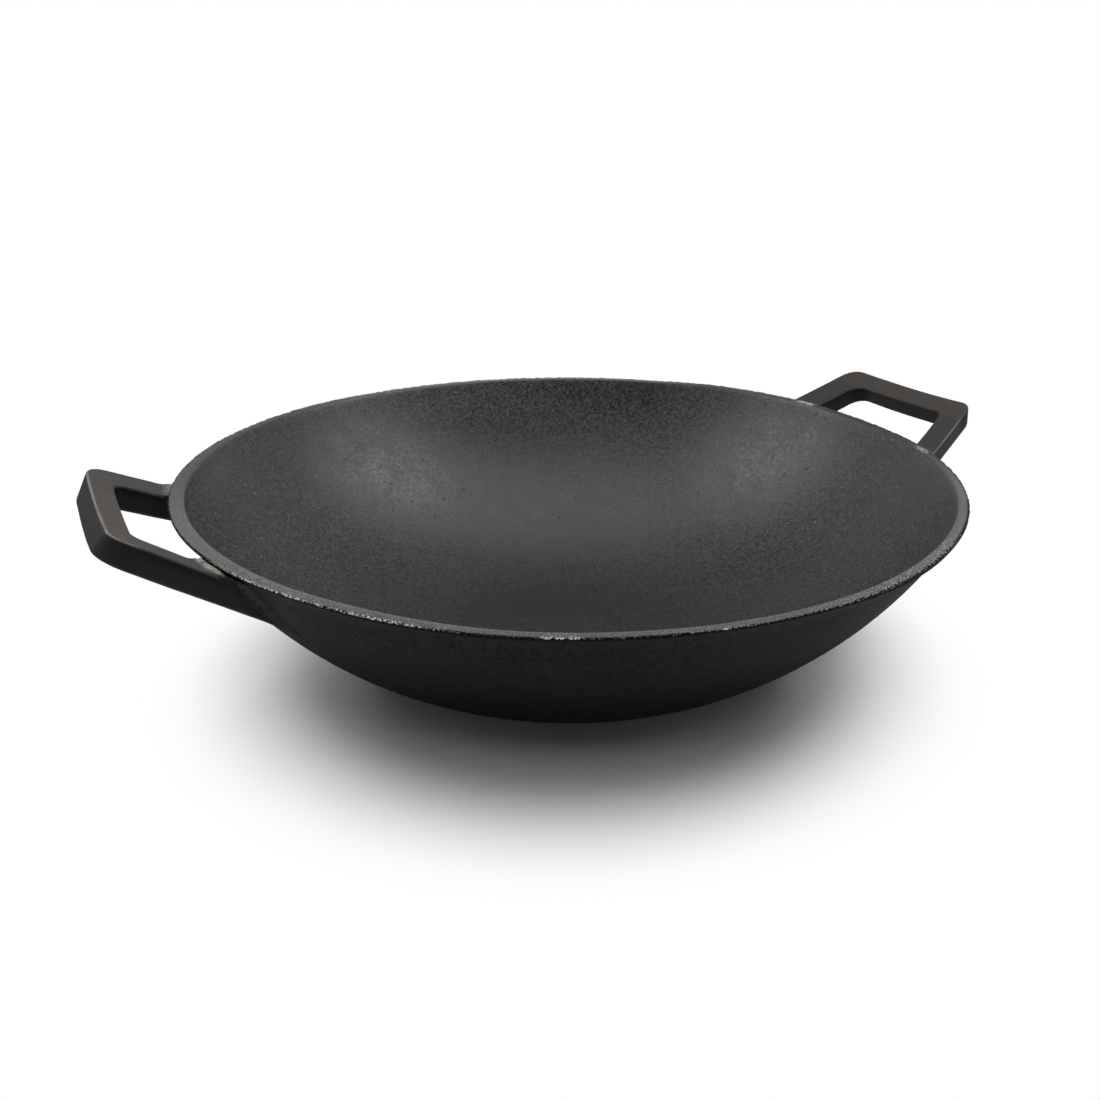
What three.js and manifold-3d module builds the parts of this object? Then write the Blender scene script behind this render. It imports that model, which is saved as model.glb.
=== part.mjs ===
// Cast iron wok: a round bowl with a flat base and a lipped rim, and a cast loop handle on each side.
// Millimetres, +Z up. The origin is the middle of the flat base, and the handles lie along X.

import * as THREE from 'three';
import { mergeVertices } from 'three/addons/utils/BufferGeometryUtils.js';
import Module from 'manifold-3d';

// Bowl
const RIM_RADIUS = 180;
const RIM_HEIGHT = 96;
const BASE_RADIUS = 57;
const WALL_BELLY = 17; // how far the wall bows out past a straight line from base to lip
const WALL_THICKNESS = 3.3; // at the neck under the lip, and thicker towards the floor
const FLOOR_THICKNESS = 5;

// Rim lip
const LIP_EDGE = 1.6; // height of the lip's outer edge
const LIP_DEPTH = 4; // from the rim top down to where the lip's sloping underside meets the wall
const LIP_OVERHANG = 3.9;
const LIP_ROUND = 0.4;
const RIM_BAND = 4.6; // width of the flat top of the rim, with its outer rounding

// Loop handles, measured on their sloping top face
const HANDLE_SLOPE = 29.3; // degrees, rising away from the bowl
const HANDLE_DROP = 1.5; // top face below the rim top, where it passes the rim's radius
const HANDLE_REACH = 32.5; // from the rim's radius to the outer edge of the grip bar
const HANDLE_THICKNESS = 10.8;
const CROWN_RADIUS = 590; // the ends of the grip bar curl up to this radius
const BAR_WIDTH = 11.3;
const BAR_BOW_RADIUS = 1140; // the grip bar bows out to this radius
const ARM_WIDTH = 13.7;
const ARM_SPACING = 95.5; // between the arms' centre lines at the rim's radius
const ARM_SPLAY = 17.3; // degrees, the arms spread towards the bowl
const ARM_ROOT = 75; // run of the arms inside the rim's radius, before the bowl cuts them
const ARM_DRAFT_OUTER = 2.8; // the outer sides lean in by this much towards the underside
const ARM_DRAFT_INNER = 1; // and the sides of the finger gap lean back by this much
const CORNER_OUTER = 9;
const CORNER_INNER = 7;
const EDGE_ROUND = 1.4;
const ROOT_GAP = 0.3; // clearance between the handle roots and the bowl

// Facets
const BOWL_SECTORS = 80;
const WALL_STEPS = 12;
const LIP_STEPS = 3;
const CORNER_STEPS = 6;
const EDGE_STEPS = 2;
const PLATE_STEP = 10; // longest straight facet on the handle's outline
const WELD_DISTANCE = 1e-4; // points this close are one point of a solid

const wasm = await Module();
wasm.setup();

const slope = THREE.MathUtils.degToRad(HANDLE_SLOPE);
const splay = THREE.MathUtils.degToRad(ARM_SPLAY);

// Points along an arc, from one angle to another, both ends included.
function arcPoints(centre, radius, from, to, steps) {
  const points = [];
  for (let i = 0; i <= steps; i += 1) {
    const angle = from + ((to - from) * i) / steps;
    points.push(new THREE.Vector2(centre.x + radius * Math.cos(angle), centre.y + radius * Math.sin(angle)));
  }
  return points;
}

// Round the corners of an outline. Each corner is a point with its radius, and 0 leaves it sharp.
function roundedOutline(corners, steps) {
  const points = [];
  corners.forEach(({ point, radius }, i) => {
    if (radius === 0) {
      points.push(point);
      return;
    }
    const before = corners[(i + corners.length - 1) % corners.length].point;
    const after = corners[(i + 1) % corners.length].point;
    const toBefore = before.clone().sub(point).normalize();
    const toAfter = after.clone().sub(point).normalize();
    const halfAngle = Math.acos(toBefore.dot(toAfter)) / 2;
    const centre = toBefore.clone().add(toAfter).normalize();
    centre.multiplyScalar(radius / Math.sin(halfAngle)).add(point);
    const first = point.clone().addScaledVector(toBefore, radius / Math.tan(halfAngle)).sub(centre);
    const turn = (Math.PI - 2 * halfAngle) * Math.sign(toAfter.cross(toBefore));
    points.push(...arcPoints(centre, radius, first.angle(), first.angle() + turn, steps));
  });
  return points;
}

// The arc of the outer wall, from the edge of the base to the neck under the lip.
function wallArc() {
  const base = new THREE.Vector2(BASE_RADIUS, 0);
  const neck = new THREE.Vector2(RIM_RADIUS - LIP_OVERHANG, RIM_HEIGHT - LIP_DEPTH);
  const chord = neck.clone().sub(base);
  const half = chord.length() / 2;
  const radius = (half * half + WALL_BELLY * WALL_BELLY) / (2 * WALL_BELLY);
  const inward = new THREE.Vector2(-chord.y, chord.x).normalize();
  const centre = base.clone().add(neck).multiplyScalar(0.5).addScaledVector(inward, radius - WALL_BELLY);
  const angleOf = (point) => Math.atan2(point.y - centre.y, point.x - centre.x);
  return { centre, radius, neck, start: angleOf(base), end: angleOf(neck) };
}

const wall = wallArc();
const bandEdge = new THREE.Vector2(RIM_RADIUS - RIM_BAND, RIM_HEIGHT);

// The outside of the bowl: up the wall, out under the lip, round its edge and in over the rim band.
function outerProfile() {
  const lip = roundedOutline([
    { point: wall.neck, radius: 0 },
    { point: new THREE.Vector2(RIM_RADIUS, RIM_HEIGHT - LIP_EDGE), radius: LIP_ROUND },
    { point: new THREE.Vector2(RIM_RADIUS, RIM_HEIGHT), radius: LIP_ROUND },
    { point: bandEdge, radius: 0 },
  ], LIP_STEPS);
  return [...arcPoints(wall.centre, wall.radius, wall.start, wall.end, WALL_STEPS), ...lip.slice(1)];
}

// The inside of the bowl: over the rounded inner edge of the rim, then down to meet the floor level.
function innerProfile() {
  const wallTop = new THREE.Vector2(
    wall.neck.x - WALL_THICKNESS * Math.cos(wall.end),
    wall.neck.y - WALL_THICKNESS * Math.sin(wall.end),
  );
  const steepness = wall.end + Math.PI / 2;
  const radius = (wallTop.y - FLOOR_THICKNESS) / (1 - Math.cos(steepness));
  const centre = new THREE.Vector2(wallTop.x - radius * Math.sin(steepness), FLOOR_THICKNESS + radius);
  const sharpEdge = wallTop.x + (RIM_HEIGHT - wallTop.y) / Math.tan(steepness);
  const rounding = new THREE.QuadraticBezierCurve(bandEdge, new THREE.Vector2(sharpEdge, RIM_HEIGHT), wallTop);
  return [
    ...rounding.getPoints(LIP_STEPS).slice(1, LIP_STEPS),
    ...arcPoints(centre, radius, wall.end, -Math.PI / 2, WALL_STEPS),
  ];
}

// Move an open profile outwards by a clearance, square to each of its facets.
function grown(profile, clearance) {
  const outward = (from, to) => new THREE.Vector2(to.y - from.y, from.x - to.x).normalize();
  return profile.map((point, i) => {
    const before = i > 0 ? outward(profile[i - 1], point) : outward(point, profile[i + 1]);
    const after = i < profile.length - 1 ? outward(point, profile[i + 1]) : before;
    const mitre = before.clone().add(after).divideScalar(1 + before.dot(after));
    return point.clone().addScaledVector(mitre, clearance);
  });
}

// Spin a profile of (radius, height) points about the Z axis.
function turned(profile) {
  const geometry = new THREE.LatheGeometry(profile, BOWL_SECTORS);
  geometry.rotateX(Math.PI / 2);
  return geometry;
}

function bowlGeometry() {
  const axisBottom = new THREE.Vector2(0, 0);
  const axisFloor = new THREE.Vector2(0, FLOOR_THICKNESS);
  return turned([axisBottom, ...outerProfile(), ...innerProfile(), axisFloor]);
}

// The bowl filled to its rim, with the root clearance added all round.
function bowlEnvelope() {
  const outside = grown(outerProfile(), ROOT_GAP);
  const axisBottom = new THREE.Vector2(0, outside[0].y);
  const axisTop = new THREE.Vector2(0, outside[outside.length - 1].y);
  return turned([axisBottom, ...outside, axisTop]);
}

// Put extra points on the straight stretches of a closed outline, so that the plate can bend.
function withSteps(outline) {
  return outline.flatMap((point, i) => {
    const next = outline[(i + 1) % outline.length];
    const count = Math.ceil(point.distanceTo(next) / PLATE_STEP);
    return Array.from({ length: count }, (_, k) => point.clone().lerp(next, k / count));
  });
}

// Half the distance between the arms' centre lines, at a distance along the slope from the rim's radius.
function armMiddle(along) {
  return ARM_SPACING / 2 - Math.tan(splay) * along;
}

const armHalf = ARM_WIDTH / 2 / Math.cos(splay);

// The handle's outline on its top face: x runs up the slope from the rim's radius, y across it.
function handleOutline() {
  const barInner = HANDLE_REACH - BAR_WIDTH;
  const side = (sign) => [
    { point: new THREE.Vector2(-ARM_ROOT, sign * (armMiddle(-ARM_ROOT) + armHalf)), radius: 0 },
    { point: new THREE.Vector2(HANDLE_REACH, sign * (armMiddle(HANDLE_REACH) + armHalf)), radius: CORNER_OUTER },
    { point: new THREE.Vector2(barInner, sign * (armMiddle(barInner) - armHalf)), radius: CORNER_INNER },
    { point: new THREE.Vector2(-ARM_ROOT, sign * (armMiddle(-ARM_ROOT) - armHalf)), radius: 0 },
  ];
  const [nearEnd, nearCorner, nearWindow, nearInner] = side(-1);
  const [farEnd, farCorner, farWindow, farInner] = side(1);
  const corners = [nearEnd, nearCorner, farCorner, farEnd, farInner, farWindow, nearWindow, nearInner];
  return roundedOutline(corners, CORNER_STEPS);
}

// How far a point of the plate moves outwards across it at the underside, for the arms' draft.
function draftAt(along, across) {
  const innerSide = armMiddle(along) - armHalf;
  const share = THREE.MathUtils.clamp((Math.abs(across) - innerSide) / (2 * armHalf), 0, 1);
  const lean = THREE.MathUtils.lerp(ARM_DRAFT_INNER, -ARM_DRAFT_OUTER, share);
  const towardsMiddle = Math.min(Math.abs(across) / innerSide, 1);
  return Math.sign(across) * lean * towardsMiddle;
}

// A flat plate of the handle's outline with rounded edges, its top face at height 0.
function handlePlate() {
  const depth = HANDLE_THICKNESS - 2 * EDGE_ROUND;
  const plate = new THREE.ExtrudeGeometry(new THREE.Shape(withSteps(handleOutline())), {
    depth,
    bevelThickness: EDGE_ROUND,
    bevelSize: EDGE_ROUND,
    bevelOffset: -EDGE_ROUND,
    bevelSegments: EDGE_STEPS,
  });
  plate.translate(0, 0, -(depth + EDGE_ROUND));
  return plate;
}

// Draft, bow and crown the plate, then lay it on its slope beside the rim.
function layOnSlope(plate) {
  const position = plate.getAttribute('position');
  for (let i = 0; i < position.count; i += 1) {
    const height = position.getZ(i);
    const flatAcross = position.getY(i);
    const draft = draftAt(position.getX(i), flatAcross) * (-height / HANDLE_THICKNESS);
    const across = flatAcross + draft;
    const along = position.getX(i) - (across * across) / (2 * BAR_BOW_RADIUS);
    const crown = (across * across) / (2 * CROWN_RADIUS);
    const x = RIM_RADIUS + along * Math.cos(slope) - height * Math.sin(slope);
    const z = RIM_HEIGHT - HANDLE_DROP + along * Math.sin(slope) + height * Math.cos(slope) + crown;
    position.setXYZ(i, x, across, z);
  }
  return plate;
}

// A closed mesh as a solid that can be cut.
function toSolid(geometry) {
  const bare = geometry.clone();
  bare.deleteAttribute('normal');
  bare.deleteAttribute('uv');
  const merged = mergeVertices(bare, WELD_DISTANCE);
  const index = merged.getIndex().array;
  const triVerts = [];
  for (let i = 0; i < index.length; i += 3) {
    const [a, b, c] = [index[i], index[i + 1], index[i + 2]];
    if (a !== b && b !== c && c !== a) triVerts.push(a, b, c);
  }
  const vertProperties = Float32Array.from(merged.getAttribute('position').array);
  return new wasm.Manifold(new wasm.Mesh({ numProp: 3, vertProperties, triVerts: Uint32Array.from(triVerts) }));
}

function toGeometry(solid) {
  const { vertProperties, triVerts } = solid.getMesh();
  const indexed = new THREE.BufferGeometry();
  indexed.setAttribute('position', new THREE.BufferAttribute(Float32Array.from(vertProperties), 3));
  indexed.setIndex(Array.from(triVerts));
  const geometry = indexed.toNonIndexed();
  geometry.computeVertexNormals();
  return geometry;
}

// The handle on the +X side. The bowl trims its arms where they run into the wall and under the lip.
function handleGeometry() {
  const plate = toSolid(layOnSlope(handlePlate()));
  return toGeometry(plate.subtract(toSolid(bowlEnvelope())));
}

function named(name, geometry, material) {
  const mesh = new THREE.Mesh(geometry, material);
  mesh.name = name;
  return mesh;
}

const seasonedIron = new THREE.MeshStandardMaterial({ color: 0x3c3d3c, roughness: 0.55, metalness: 0.3 });
const wornIron = new THREE.MeshStandardMaterial({ color: 0x55504d, roughness: 0.6, metalness: 0.3 });

const wok = new THREE.Group();
const handle = handleGeometry();

const bowl = named('bowl', bowlGeometry(), seasonedIron);
const rightHandle = named('right_handle', handle, wornIron);
const leftHandle = named('left_handle', handle, wornIron);
leftHandle.rotation.z = Math.PI;

wok.add(bowl, leftHandle, rightHandle);

export default wok;
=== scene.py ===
"""Cast iron wok: a turned bowl with a ground rim and a cast loop handle on each side, in a plain studio.

Metres, +Z up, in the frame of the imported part. The origin is the middle of the flat base, and the
handles lie along X.
"""

import math
from itertools import product
from types import SimpleNamespace

import bpy
from bpy.props import FloatProperty, FloatVectorProperty, IntProperty, PointerProperty
from mathutils import Matrix, Vector


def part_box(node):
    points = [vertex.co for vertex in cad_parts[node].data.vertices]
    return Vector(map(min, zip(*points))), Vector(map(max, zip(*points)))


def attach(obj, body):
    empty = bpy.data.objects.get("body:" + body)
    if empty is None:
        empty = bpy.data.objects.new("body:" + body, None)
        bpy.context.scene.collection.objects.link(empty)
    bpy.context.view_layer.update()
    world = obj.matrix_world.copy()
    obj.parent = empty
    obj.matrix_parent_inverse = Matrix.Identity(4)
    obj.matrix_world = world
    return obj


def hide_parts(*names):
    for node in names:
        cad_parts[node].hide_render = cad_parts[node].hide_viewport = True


bl_info = {
    "name": "Cast iron wok",
    "version": (1, 0, 0),
    "blender": (4, 5, 0),
    "location": "3D View > Sidebar > Wok",
    "description": "Builds a cast iron wok with two loop handles round its packed frame",
    "category": "Add Mesh",
}

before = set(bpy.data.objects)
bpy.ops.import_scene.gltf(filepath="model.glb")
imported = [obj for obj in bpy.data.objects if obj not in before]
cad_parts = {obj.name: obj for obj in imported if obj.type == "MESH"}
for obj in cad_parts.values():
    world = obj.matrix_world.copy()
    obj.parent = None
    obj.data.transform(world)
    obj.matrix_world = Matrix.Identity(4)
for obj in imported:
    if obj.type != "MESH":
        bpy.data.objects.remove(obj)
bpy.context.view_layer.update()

BODY = "root"
SIDES = {"left": -1.0, "right": 1.0}
ENDS = ("near", "far")
MILLIMETRE = 0.001
WHITE = (1.0, 1.0, 1.0, 1.0)

# Points of the bowl that are closer than this are one
WELD_DISTANCE = 0.00002
# Pimples to a square metre of the walls
PIMPLES_OUTSIDE = 2200.0
PIMPLES_INSIDE = 300.0
# Height at which the rim's warp starts
WARP_START = 0.045
# How often the swell of the ground band is squared, which keeps it to one side
BAND_SQUARINGS = 3
# Faces with less than this share of the inside or the ground rim are outside iron
BLACK_SHARE = 0.39
# Room round a loop in the grid that it is skinned on
GRID_MARGIN = 0.008
# How often a loop's skin is drawn onto its rule
SKIN_PASSES = 2
# A loose body of a loop's skin with fewer points than this is a crumb
CRUMB_POINTS = 1000
# Half the stretch in which the near arm's sizes turn into the far arm's
ARM_CHANGE = 0.004
# Share of the loop's depth at which the grip bar's outer side stands true
LEAN_PIVOT = 0.55
# How far the loops' roots reach into the wall, and how far the ends of their fillets sink into it
ROOT_BURIED = 0.0006
ROOT_SINK = 0.00012
# Specular levels of the sooty outside and of the loops
OUTSIDE_SPECULAR = 0.04
LOOP_SPECULAR = 0.11

# Stretch and shift of the floor's shade
SHADE_SHAPE = (0.92, 1.0, 1.0)
SHADE_SHIFT = (-0.004, 0.003, 0.0)
# Lamps: name, place, width, the property that holds the power, and whether the iron's sheen shows the lamp
LAMPS = (
    ("top_lamp", (0.05, 0.1, 1.3), 0.9, "top_lamp", True),
    ("right_lamp", (0.71, -0.11, 0.97), 0.55, "side_lamps", True),
    ("left_lamp", (-0.61, 0.53, 0.9), 0.6, "side_lamps", True),
    ("fill_lamp", (-0.28, -0.54, 1.2), 1.2, "fill_lamp", False),
)
LAMP_TARGET = (0.0, 0.0, 0.05)
# The way to the viewer along X and Y, in which the iron's sheen shows a dimmer background
VIEWER_WAY = (-0.46, -0.89)
# Camera: the ways to its right and its top, its place, and the frame of the photograph
CAMERA_RIGHT = (0.897643, -0.440722, 0.000873)
CAMERA_UP = (0.165037, 0.337975, 0.926572)
CAMERA_PLACE = (-0.228416, -0.446917, 0.256136)
CLIP_START = 0.01
PHOTO_PIXELS = 1100
SENSOR_WIDTH = 36.0

# Sizes that differ from arm to arm, as castings do: left near, left far, right near, right far
ARM_SIZES = {
    "outer": ("outer corner", "Radius of the loop's outer corner", (0.0075, 0.0135, 0.009, 0.011)),
    "flare": (
        "corner flare", "How much rounder the outer corner is at its foot", (0.0095, 0.0105, 0.004, 0.004)),
    "gap": ("gap corner", "Radius of the finger gap's corner", (0.006, 0.009, 0.0045, 0.0095)),
    "outset": ("arm outset", "How much wider the arm is on its outer side", (0.0, 0.002, 0.0, 0.0008)),
    "inset": ("arm inset", "How much wider the arm is on its gap side", (0.0, 0.0005, 0.0005, 0.0027)),
    "bar": ("bar widening", "How much wider the grip bar is at this end", (-0.0004, 0.0004, 0.0, 0.0)),
    "collar": (
        "collar drop", "Top of the rise at the arm's root below the rim top",
        (0.0014, 0.003, 0.0045, 0.0045)),
    "web": ("root web", "How far the arm's root reaches into the finger gap", (0.0022, 0.0, 0.0, 0.0)),
}
# Sizes that differ from loop to loop: left, right
LOOP_SIZES = {
    "outward": ("outward shift", "How far the loop stands out past its place", (0.0, 0.0018)),
    "upward": ("upward shift", "How far the loop stands above its place", (0.0, 0.0004)),
    "back": ("backward shift", "How far the loop stands back from its place", (0.0, -0.0006)),
    "thinning": ("thinning", "How much thinner the loop is", (-0.0008, 0.0009)),
    "taper": ("taper", "How much thicker the loop is at its bar than at the rim", (0.0006, 0.0)),
    "under": ("under round", "Rounding along the loop's lower edges", (0.002, 0.0009)),
    "lean": (
        "bar lean", "How much further out the bar's outer side stands at its foot than at its top",
        (0.001, 0.0)),
}

# Uneven places of the rim: degrees round from +X, half width in degrees, and the rise
RIM_WARP = (
    (-102.0, 48.0, -0.0014),
    (82.0, 40.0, -0.00045),
    (24.0, 22.0, 0.0008),
)
# Places where the lip's outer edge is taller
LIP_SWELL = (
    (-51.0, 37.0, 0.0013),
)
# Painted highlights and painted shade round the ground band: lighter and darker places, with the change
RIM_LIGHT_AND_SHADE = (
    (14.0, 44.0, -0.4),
    (-8.0, 28.0, -0.35),
    (70.0, 38.0, 0.5),
    (140.0, 42.0, -0.35),
    (-100.0, 32.0, -0.12),
)
# Places where the black of the lip's edge, partly painted shade of the undercut, bites further or less far
# into the band
RIM_BITES = (
    (-40.0, 36.0, 0.3),
    (-84.0, 36.0, -0.15),
    (-135.0, 40.0, 0.1),
)
# Painted highlights along the outer edges of each loop, where the lamps catch their rounding: near arm, grip
# bar, far arm
EDGE_HIGHLIGHTS = {"left": (0.1, 1.0, 0.2), "right": (1.0, 0.3, 0.1)}
# Rubbed places on the rim, partly real wear and partly painted glints and highlights, with how far they are
# rubbed to metal and how far across the band
RIM_WEAR_AND_GLINTS = (
    (-117.5, 3.2, 1.0, 0.3),
    (-100.0, 0.9, 0.9, 0.1),
    (-147.0, 24.0, 0.85, 0.15),
    (-103.0, 16.0, 0.3, 0.5),
    (-72.0, 26.0, 0.5, 0.6),
    (13.3, 2.8, 0.9, 1.0),
    (-18.0, 2.8, 0.7, 1.0),
)


# Properties

def size(name, description, default):
    """A length that a user may change."""
    return FloatProperty(
        name=name, description=description, default=default, precision=5, subtype="DISTANCE", unit="LENGTH")


def angle(name, description, degrees):
    """An angle that a user may change."""
    return FloatProperty(
        name=name, description=description, default=math.radians(degrees), subtype="ANGLE", unit="ROTATION")


def colour(name, description, default):
    """A colour that a user may change."""
    return FloatVectorProperty(
        name=name, description=description, default=default, size=3, min=0.0, max=1.0, subtype="COLOR")


def power(name, description, default):
    """A lamp's power that a user may change."""
    return FloatProperty(name=name, description=description, default=default, unit="POWER")


class WOK_PG_bowl(bpy.types.PropertyGroup):
    """Sizes of the bowl."""

    rim_radius: size("Rim radius", "Outer radius of the rim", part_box("bowl")[1].x)
    rim_height: size("Rim height", "Height of the rim above the base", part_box("bowl")[1].z)
    base_radius: size("Base radius", "Radius of the flat base", 0.057)
    base_round: size("Base round", "Rounding between the base and the wall", 0.004)
    wall_belly: size("Wall belly", "How far the wall bows out past a straight line from base to lip", 0.017)
    lip_wall: size("Lip wall", "Thickness of the wall at the lip", 0.0024)
    floor_thickness: size("Floor thickness", "Thickness of the floor", 0.005)
    lip_edge: size("Lip edge", "Height of the lip's outer edge where it is least", 0.001)
    lip_depth: size("Lip depth", "From the rim top down to where the lip's underside meets the wall", 0.004)
    lip_overhang: size("Lip overhang", "How far the lip stands out past the wall", 0.0039)
    lip_nose: size("Lip nose", "Rounding of the lip's outer edge", 0.0005)
    rim_band: size("Rim band", "Width of the ground flat top of the rim on its narrowest side", 0.0041)
    band_swell: size("Band swell", "How much wider the ground band is on its widest side", 0.0024)
    band_turn: angle("Band turn", "Where the ground band is widest, round from +X", 180.0)
    rim_bite: size("Rim bite", "How far the black of the lip's edge bites into the band", 0.0009)
    waviness: size("Waviness", "Slow unevenness of the casting", 0.0003)
    rim_nicks: size("Rim nicks", "Raggedness of the lip's outer edge", 0.0006)
    pimple_radius: size("Pimple radius", "Largest radius of the casting's pimples", 0.0005)
    sectors: IntProperty(name="Sectors", description="Facets round the bowl", default=900, min=32)
    seed: IntProperty(name="Bowl seed", description="Seed of the bowl's unevenness", default=7)


class WOK_PG_handle(bpy.types.PropertyGroup):
    """Sizes of the loop handles, measured on their sloping top face."""

    slope: angle("Slope", "Rise of the loop away from the bowl", 29.3)
    drop: size("Drop", "Top face below the rim top, where it passes the rim's radius", 0.0015)
    reach: size("Reach", "From the rim's radius to the outer edge of the grip bar", 0.0325)
    thickness: size("Thickness", "Thickness of the loop", 0.0108)
    crown_radius: size("Crown radius", "The ends of the grip bar curl up to this radius", 0.59)
    bar_width: size("Bar width", "Width of the grip bar", 0.0113)
    bow_radius: size("Bow radius", "The grip bar bows out to this radius", 1.14)
    arm_width: size("Arm width", "Width of the arms", 0.0137)
    arm_spacing: size("Arm spacing", "Between the arms' centre lines at the rim's radius", 0.0955)
    arm_splay: angle("Arm splay", "The arms spread towards the bowl", 17.3)
    draft_outer: size("Outer draft", "The outer sides lean in by this much towards the underside", 0.0028)
    draft_inner: size("Inner draft", "The sides of the finger gap lean back by this much", 0.001)
    edge_round: size("Edge round", "Rounding along the loop's upper edges", 0.0009)
    root_fillet: size("Root fillet", "Reach of the fillet where the arms run into the wall", 0.0042)
    collar: size("Collar", "How far the rise at the arms' roots stands out past the lip", 0.0016)
    collar_fillet: size("Collar fillet", "Reach of the fillet between the arms' tops and the collar", 0.005)
    lip_gap: size("Lip gap", "Crevice between the collar and the lip", 0.0006)
    grain: size("Grain", "Height of the sand grain on the loop", 0.00016)
    handle_seed: IntProperty(name="Handle seed", description="Seed of the loops' unevenness", default=3)


for key, (label, text, defaults) in ARM_SIZES.items():
    for (side_name, end), default in zip(product(SIDES, ENDS), defaults):
        name = f"{side_name.capitalize()} {end} {label}"
        WOK_PG_handle.__annotations__[f"{side_name}_{key}_{end}"] = size(name, text, default)
for key, (label, text, defaults) in LOOP_SIZES.items():
    for side_name, default in zip(SIDES, defaults):
        name = f"{side_name.capitalize()} {label}"
        WOK_PG_handle.__annotations__[f"{side_name}_{key}"] = size(name, text, default)


class WOK_PG_finish(bpy.types.PropertyGroup):
    """Colours of the seasoned iron."""

    inside: colour("Inside", "Seasoned cooking surface", (0.0168, 0.0172, 0.0175))
    inside_warm: colour("Inside, warm", "Browner patches of the cooking surface", (0.0184, 0.0178, 0.0172))
    outside: colour("Outside", "Outer wall and base", (0.0098, 0.0098, 0.0104))
    rim: colour("Rim", "Ground rim", (0.0505, 0.0475, 0.045))
    # Near black of the lip's outer face and underside: partly the lip's own colour, partly painted shade
    # under the overhang
    lip: colour("Lip", "Outer edge of the lip", (0.0028, 0.0028, 0.0028))
    # Bright specks on the rim's edge: partly exposed metal, partly painted glints
    fleck_and_glint: colour("Fleck", "Bare metal on the rim's edge", (0.55, 0.54, 0.52))
    handle_grip: colour("Handle grip", "Rubbed top face of the grip bars", (0.049, 0.0415, 0.038))
    handle_arm: colour("Handle arm", "Top face of the arms", (0.037, 0.0355, 0.0335))
    # Painted highlight colour of the loops' outer edges and of the rises at their roots
    handle_highlight: colour("Handle edge", "Bright edges and roots of the loops", (0.23, 0.217, 0.2))
    handle_side: colour("Handle side", "Sides and underside of the loops", (0.0098, 0.0098, 0.0095))


class WOK_PG_stage(bpy.types.PropertyGroup):
    """Floor, lamps and camera."""

    floor: colour("Floor", "Colour of the floor", (0.97, 0.955, 0.925))
    floor_width: size("Floor width", "Width of the floor", 4.0)
    floor_shade: size(
        "Floor shade", "The floor keeps its full shade within this distance of the middle", 0.112)
    floor_fade: size("Floor fade", "Distance at which the floor has run out into the background", 0.192)
    ambient: FloatProperty(name="Ambient", description="Strength of the room's light", default=0.16, min=0.0)
    mirrored: FloatProperty(
        name="Mirrored background", description="Strength of the background in the iron's sheen",
        default=0.85, min=0.0)
    top_lamp: power("Top lamp", "Power of the lamp overhead", 4.8)
    side_lamps: power("Side lamps", "Power of each side lamp", 5.2)
    fill_lamp: power("Fill lamp", "Power of the lamp above the viewer", 8.0)
    focal_pixels: FloatProperty(
        name="Focal length", description="Focal length in pixels of the photograph", default=1109.9)


# Node helpers

class Field:
    """A value in a node tree, so that a rule can be written as arithmetic."""

    def __init__(self, tree, socket):
        self.tree = tree
        self.socket = socket

    def apply(self, operation, *values):
        """One Math node on these values, which are numbers or fields of this tree."""
        made = add(self.tree, "ShaderNodeMath", dict(enumerate(values)), operation=operation)
        return Field(self.tree, made.outputs[0])

    def __add__(self, other):
        return self.apply("ADD", self, other)

    def __radd__(self, other):
        return self.apply("ADD", other, self)

    def __sub__(self, other):
        return self.apply("SUBTRACT", self, other)

    def __rsub__(self, other):
        return self.apply("SUBTRACT", other, self)

    def __mul__(self, other):
        return self.apply("MULTIPLY", self, other)

    def __truediv__(self, other):
        return self.apply("DIVIDE", self, other)

    def __neg__(self):
        return self.apply("MULTIPLY", self, -1.0)

    def __abs__(self):
        return self.apply("ABSOLUTE", self)

    def root(self):
        return self.apply("SQRT", self)

    def sine(self):
        return self.apply("SINE", self)

    def cosine(self):
        return self.apply("COSINE", self)

    def most(self, other):
        return self.apply("MAXIMUM", self, other)

    def least(self, other):
        return self.apply("MINIMUM", self, other)


def add(tree, kind, inputs=None, **settings):
    """A new node with its settings and inputs. An input is a value, a field or a list of fields."""
    made = tree.nodes.new(kind)
    for key, value in settings.items():
        setattr(made, key, value)
    for key, value in (inputs or {}).items():
        if isinstance(value, Field):
            tree.links.new(value.socket, made.inputs[key])
        elif isinstance(value, list):
            for field in value:
                tree.links.new(field.socket, made.inputs[key])
        else:
            made.inputs[key].default_value = value
    return made


def field_of(tree, kind, inputs=None, output=0, **settings):
    """The field that a new node gives."""
    return Field(tree, add(tree, kind, inputs, **settings).outputs[output])


def step(value, low, high):
    """0 at low and 1 at high, with a smooth step between."""
    inputs = {0: value, 1: low, 2: high}
    return field_of(value.tree, "ShaderNodeMapRange", inputs, interpolation_type="SMOOTHSTEP")


def noise(place, scale, detail=2.0, roughness=0.5, seed=0.0):
    """Smooth noise about 0, from -0.5 to 0.5, with this many waves to a metre."""
    inputs = {"Vector": place, "W": seed, "Scale": scale, "Detail": detail, "Roughness": roughness}
    return field_of(place.tree, "ShaderNodeTexNoise", inputs, noise_dimensions="4D") - 0.5


def split(vector):
    """The x, y and z of a vector."""
    made = add(vector.tree, "ShaderNodeSeparateXYZ", {0: vector})
    return [Field(vector.tree, output) for output in made.outputs]


def scaled(vector, amount):
    """A vector or a colour times a number."""
    return field_of(amount.tree, "ShaderNodeVectorMath", {0: vector, 3: amount}, operation="SCALE")


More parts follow.
